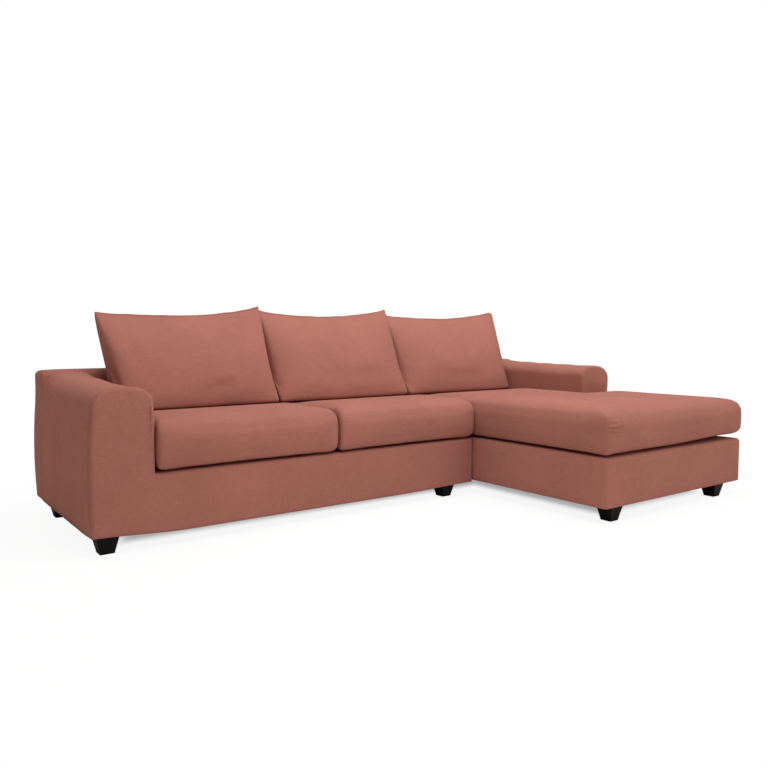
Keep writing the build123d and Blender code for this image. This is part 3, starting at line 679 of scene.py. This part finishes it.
def make_seat(name, points, low, high, shaped=None):
    """A foam seat cushion: crowned, soft at its edges, flat on the deck and pressed down under the backs.

    points are its plan's corners, each with the way it moves in, and shaped changes single points.
    """
    rings = []
    for up, taken in SEAT_STEPS:
        ring = [(x + dx * taken, y + dy * taken) for (x, y), (dx, dy) in points]
        rings.append([(x, y, Z_DECK + 0.001 + up) for x, y in rounded_plan(ring, SEAT_CORNER)])
    whole = f"{name}_cushion"
    mesh = subdivided(soften(whole, loft_mesh(whole, rings), SEAT_VOXEL, SEAT_CAP, SEAT_GROW))
    fit_to(mesh, low, high)
    for vertex in mesh.vertices:
        if shaped:
            shaped(vertex)
        pressed = Z_SEAT + SEAT_CROWN - SEAT_PRESS * eased(vertex.co.y, 0.22, 0.43)
        vertex.co.z = max(Z_DECK + SEAT_REST, min(vertex.co.z, pressed))
    nodes = (f"{name}_cover", f"{name}_core")
    return make_object(whole, mesh, whole, nodes)


def seam_y(z):
    """The sewn line of the back cushions, leaning back with height."""
    return Y_BACK - BACK_SEAM + (z - Z_SEAT) * math.tan(BACK_LEAN)


def rest_limit(z):
    """How far back a back cushion may reach at a height: the low back's face, then over its top."""
    return Y_BACK - 0.004 + 0.5 * max(0.0, z - BACK_TOP + 0.016)


def make_back(name, x_low, x_high, tops, ends, slopes, twist):
    """A fibre back cushion with a sewn edge all round, slumped on the seat and leaning on the low back.

    tops gives the height of its top edge, its rise at the left and right and the rounding of its right
    corner, ends how full its two sides are, above and more at the seat, slopes how far each side is drawn
    in towards the seat, and twist how far its upper corners lean back at the left and right.
    """
    rings = []
    held = []
    half = (x_high - x_low) / 2
    middle = (x_low + x_high) / 2
    z_low = Z_SEAT - 0.013
    for n in range(BACK_COLUMNS + 1):
        even = -1 + 2 * n / BACK_COLUMNS
        t = math.sin(math.pi / 2 * even) * 0.5 + even * 0.5
        left = max(0.0, -t)
        right = max(0.0, t)
        rise = tops[1] * left ** 2.5 + tops[2] * right ** 1.7 + 0.007 * abs(t) ** 14
        top = tops[0] + rise + wobble(x_low + t, 3.0, 0.0, 7.0, 0.003) * (1 - t ** 4)
        top -= tops[3] * eased(t, 0.93, 1.0) ** 2
        above, below = ends[0] if t < 0 else ends[1]
        slope = slopes[0] if t < 0 else slopes[1]
        lean = twist[0] * left ** 2 + twist[1] * right ** 2
        boxed = eased(-t, 0.3, 1.0) if ends[0][0] > 0.3 else 0.0
        front = []
        rear = []
        for k in range(BACK_ROWS + 1):
            s = k / BACK_ROWS
            z = z_low + (top - z_low) * s
            end = above + (below - above) * math.exp(-s / 0.2)
            swell = end + (1 - end) * max(0.0, 1 - abs(t) ** (6 + 3 * boxed)) ** 0.6
            drawn = 0.012 * math.sin(math.pi * s) + min(slope, 1.6 * slope * (1 - s) ** 1.2)
            x = middle + t * half * (1 - drawn * abs(t) ** 3)
            low_turn = 1 - 0.22 * math.exp(-s / 0.08)
            belly = max(0.0, 1 - s ** (2.0 + 0.8 * boxed)) ** 0.85
            seam = seam_y(z) + lean * s
            pucker = wobble(t * 0.3 + x_low, z, 0.0, 36.0, PUCKER) * eased(abs(t), 0.80, 0.95) * belly
            front.append((x, seam - SEAM_HALF - BACK_FRONT * belly * low_turn * swell + pucker, z))
            rear.append((x, min(seam + SEAM_HALF + BACK_BEHIND * belly * swell, rest_limit(z)), z))
        x, y, z = front[-1]
        for up in (0.004, 0.008):
            front.append((x, y + SEAM_HALF - SEAM_LIP, z + up))
            rear.append((x, y + SEAM_HALF + SEAM_LIP, z + up))
        rings.append(front + rear[::-1])
        shares = [k / BACK_ROWS for k in range(BACK_ROWS + 3)]
        stays = [max(eased(s, 0.9, 1.0), 1 - eased(s, 0.0, 0.1)) for s in shares]
        held += [max(share, eased(abs(t), 0.84, 1.0)) for share in stays + stays[::-1]]
    whole = f"{name}_cushion"
    mesh = subdivided(soften(whole, loft_mesh(whole, rings), 0, BACK_CAP, BACK_GROW, held))
    for vertex in mesh.vertices:
        x, y, z = vertex.co
        vertex.co.y = min(y, rest_limit(z) + 0.003)
        vertex.co.z = max(z, z_low)
        vertex.co.x = min(x_high, max(x_low, x))
    nodes = (f"{name}_cover", f"{name}_core")
    return make_object(whole, mesh, whole, nodes)


# The sofa

def build_sections():
    """The covers of both sections."""
    x_sofa = X_JOINT - HALF_GAP
    x_chaise = X_JOINT + HALF_GAP
    make_arm("left_arm", Z_BASE, -1, "sofa_section", ("sofa_arm_cover", "sofa_arm_foam"))
    make_arm("right_arm", Z_DECK - 0.006, 1, "chaise_section", ("chaise_arm_cover", "chaise_arm_foam"))
    make_front_panel("sofa_front_panel", x_sofa, "sofa_section")
    for section, low, x_high, edges, puff in (
        ("sofa", (X_ARM_INNER - 0.02, Y_FRONT + 0.010, Z_BASE), x_sofa, (0.006, 0.006, 0.008), 0.002),
        ("chaise", (x_chaise, Y_CHAISE, Z_BASE), X_RIGHT + 0.006, (0.020, 0.006, 0.018), 0.005),
    ):
        nodes = [f"{section}_{piece}" for piece in ("base_cover", "base_foam", "deck_pad")]
        make_block(f"{section}_base", low, (x_high, Y_BACK + LAP, Z_DECK), edges,
                   f"{section}_section", nodes, puff)
    for section, x_low, x_high, side in (
        ("sofa", X_ARM, x_sofa, "left"),
        ("chaise", x_chaise, X_RIGHT, "right"),
    ):
        nodes = [f"{section}_{piece}" for piece in ("back_cover", "back_foam")]
        make_block(f"{section}_back", (x_low, Y_BACK, Z_BASE), (x_high, Y_REAR, BACK_TOP), LOW_BACK_EDGES,
                   f"{section}_section", nodes, LOW_BACK_PUFF, side)


def shape_chaise_seat(vertex):
    """Keeps the chaise seat off the right arm, lifts its right front corner and creases its left one."""
    beside = vertex.co.x - X_RIGHT_INNER + 0.002
    behind = vertex.co.y - Y_FRONT + 0.002
    if beside > 0 and behind > 0:
        if beside < behind:
            vertex.co.x -= beside
        else:
            vertex.co.y -= behind
    x, y, z = vertex.co
    height = (z - Z_DECK - SEAT_REST) / (Z_SEAT + SEAT_CROWN - Z_DECK - SEAT_REST)
    at_front = 1 - eased(y, Y_CHAISE, Y_CHAISE + 0.25)
    at_right = eased(x, X_JOINT + 0.45, X_RIGHT + CHAISE_BULGE)
    vertex.co.z += CORNER_LIFT * (1 - eased(height, 0.0, 0.8)) * at_front * at_right
    along = (x - X_JOINT - SEAT_GAP - 0.040) / 0.03
    crease = math.exp(-along ** 2 - ((height - 0.60) / 0.16) ** 2)
    at_face = 1 - eased(y, Y_CHAISE + 0.01, Y_CHAISE + 0.05)
    vertex.co.y += CREASE * crease * at_face * math.sin(z / 0.0030)


def build_seats(edges):
    """The loose seat cushions; edges are the sides of the left and middle ones."""
    z_low = Z_DECK + SEAT_REST
    z_high = Z_SEAT + SEAT_CROWN
    y_low = Y_FRONT - SEAT_OVERHANG
    y_high = Y_BACK - 0.002
    across = 0.28
    for name, left, right in zip(("left_seat", "middle_seat"), edges, edges[1:]):
        x_low = left + SEAT_GAP
        x_high = right - SEAT_GAP
        plan = [
            ((x_low, y_low), (across, 1)), ((x_high, y_low), (-across, 1)),
            ((x_high, y_high), (-across, -1)), ((x_low, y_high), (across, -1)),
        ]
        make_seat(name, plan, (x_low, y_low, z_low), (x_high, y_high, z_high))
    x_low = X_JOINT + SEAT_GAP
    x_high = X_RIGHT + CHAISE_BULGE
    x_arm = X_RIGHT_INNER - ARM_CLEARANCE
    y_arm = Y_FRONT - ARM_CLEARANCE
    plan = [
        ((x_low, Y_CHAISE), (0.45, 0.8)), ((x_high, Y_CHAISE), (-0.55, 0.8)),
        ((x_high, y_arm), (-0.55, -1)), ((x_arm, y_arm), (-1, -1)),
        ((x_arm, y_high), (-1, -1)), ((x_low, y_high), (0.45, -1)),
    ]
    low = (x_low, Y_CHAISE - 0.006, z_low)
    make_seat("chaise_seat", plan, low, (x_high, y_high, z_high), shape_chaise_seat)


def build_backs(edges):
    """The loose back cushions; edges are their sides."""
    full, free, pressed = (0.40, 0.85), (0.14, 0.64), (0.27, 1.0)
    for n, (name, tops, ends, slopes, twist) in enumerate((
        ("left_back", (0.831, 0.006, 0.046, 0.0), (full, pressed), (0.090, 0.0), (0.030, -0.030)),
        ("middle_back", (0.838, 0.022, 0.040, 0.0), (pressed, pressed), (0.0, 0.0), (0.0, -0.030)),
        ("right_back", (0.838, 0.012, 0.044, 0.022), (pressed, free), (0.0, 0.030), (0.0, -0.045)),
    )):
        make_back(name, edges[n] + BACK_GAP, edges[n + 1] - BACK_GAP, tops, ends, slopes, twist)


# Floor, light and camera

def inside_box(tree, place, low, high):
    """How deep a place on the floor is inside a rectangle."""
    spot = add(tree, "ShaderNodeSeparateXYZ", {"Vector": place}).outputs
    depths = []
    for axis in range(2):
        depths.append(math_node(tree, "SUBTRACT", spot[axis], low[axis]))
        depths.append(math_node(tree, "SUBTRACT", high[axis], spot[axis]))
    least = depths[0]
    for depth in depths[1:]:
        least = math_node(tree, "MINIMUM", least, depth)
    return least


def smooth_range(tree, value, start, end, low, high):
    """A value brought smoothly from one range into another."""
    links = {"Value": value, "From Min": start, "From Max": end, "To Min": low, "To Max": high}
    node = add(tree, "ShaderNodeMapRange", links, interpolation_type="SMOOTHSTEP")
    return node.outputs["Result"]


def build_floor():
    """A pale floor that the camera sees as white, apart from the shade under the sofa: its own shadow, let
    through by a painted mask of the sofa's footprint.
    """
    reach = FLOOR_REACH
    shape = bpy.data.meshes.new("floor")
    marks = [(-reach, -reach, 0), (reach, -reach, 0), (reach, reach, 0), (-reach, reach, 0)]
    shape.from_pydata(marks, [], [(0, 1, 2, 3)])
    floor = bpy.data.objects.new("floor", shape)
    bpy.context.scene.collection.objects.link(floor)
    material, tree, shader, place = new_material("floor")
    cloud = noise_at(tree, place, 1.5, 3.0)
    tree.links.new(ramp(tree, cloud, FLOOR_DARK, FLOOR_LIGHT), shader.inputs["Base Color"])
    shader.inputs["Roughness"].default_value = 0.9
    shader.inputs["Specular IOR Level"].default_value = 0.1
    oval = {0: place, 1: (0.36, 0.45, 0)}
    flat = add(tree, "ShaderNodeVectorMath", oval, operation="MULTIPLY").outputs[0]
    away = add(tree, "ShaderNodeVectorMath", {0: flat}, operation="LENGTH").outputs["Value"]
    near = smooth_range(tree, away, 0.35, 1.0, 0.90, 1.0)
    # Painted shade: under the sofa's footprint the white gives way to the floor's own shadow, more so the
    # deeper inside the footprint a place lies
    under_sofa = inside_box(tree, place, (X_ARM, Y_FRONT), (X_RIGHT, Y_REAR))
    under_chaise = inside_box(tree, place, (X_JOINT, Y_CHAISE), (X_RIGHT, Y_REAR))
    under = math_node(tree, "MAXIMUM", under_sofa, under_chaise)
    below = smooth_range(tree, under, 0.09, 0.20, 1.0, 0.42)
    fade = math_node(tree, "MULTIPLY", near, below)
    rays = tree.nodes.new("ShaderNodeLightPath").outputs["Is Camera Ray"]
    share = math_node(tree, "MULTIPLY", fade, rays)
    white = add(tree, "ShaderNodeEmission", {"Color": WHITE, "Strength": 1.0}).outputs[0]
    mixed = add(tree, "ShaderNodeMixShader", {0: share, 1: shader.outputs[0], 2: white}).outputs[0]
    tree.links.new(mixed, tree.nodes["Material Output"].inputs["Surface"])
    shape.materials.append(material)


def build_world():
    """Warm light all round, and a white background."""
    world = bpy.data.worlds.new("studio")
    bpy.context.scene.world = world
    world.use_nodes = True
    tree = world.node_tree
    lit = tree.nodes["Background"]
    lit.inputs["Color"].default_value = WORLD_COLOUR
    lit.inputs["Strength"].default_value = WORLD_STRENGTH
    seen = add(tree, "ShaderNodeBackground", {"Color": WHITE, "Strength": 1.0})
    path = tree.nodes.new("ShaderNodeLightPath").outputs
    rays = summed(tree, [path["Is Camera Ray"], path["Is Glossy Ray"], path["Is Transmission Ray"]])
    mixed = add(tree, "ShaderNodeMixShader", {0: rays, 1: lit.outputs[0], 2: seen.outputs[0]})
    tree.links.new(mixed.outputs[0], tree.nodes["World Output"].inputs["Surface"])


def build_lamps():
    """Soft light from above and from the front right."""
    for name, place, aim, size, power in (
        ("top_light", (0.3, -0.7, 3.6), (0.0, 0.1, 0.3), 3.0, 136.0),
        ("key_light", (2.2, -4.6, 2.6), (0, 0, 0.3), 2.0, 34.0),
    ):
        lamp = bpy.data.lights.new(name, "AREA")
        lamp.shape = "SQUARE"
        lamp.size = size
        lamp.energy = power
        lamp.color = LAMP_COLOUR
        light = bpy.data.objects.new(name, lamp)
        light.location = place
        light.rotation_euler = (Vector(aim) - Vector(place)).to_track_quat("-Z", "Y").to_euler()
        bpy.context.scene.collection.objects.link(light)


def build_camera():
    """The photograph's view, fitted to its corners."""
    lens = bpy.data.cameras.new("camera")
    lens.lens = LENS
    lens.sensor_width = SENSOR
    camera = bpy.data.objects.new("camera", lens)
    camera.location = CAMERA_PLACE
    camera.rotation_euler = (math.radians(90 - CAMERA_DIP), 0, math.radians(CAMERA_TURN))
    bpy.context.scene.collection.objects.link(camera)
    bpy.context.scene.camera = camera
    bpy.context.scene.view_settings.view_transform = "Standard"


dress_cad_nodes()
build_sections()
seat_edges = [X_ARM_INNER + SEAT_WIDTH * n for n in range(3)]
build_seats(seat_edges)
build_backs([*seat_edges, X_RIGHT_INNER])
build_floor()
build_world()
build_lamps()
build_camera()
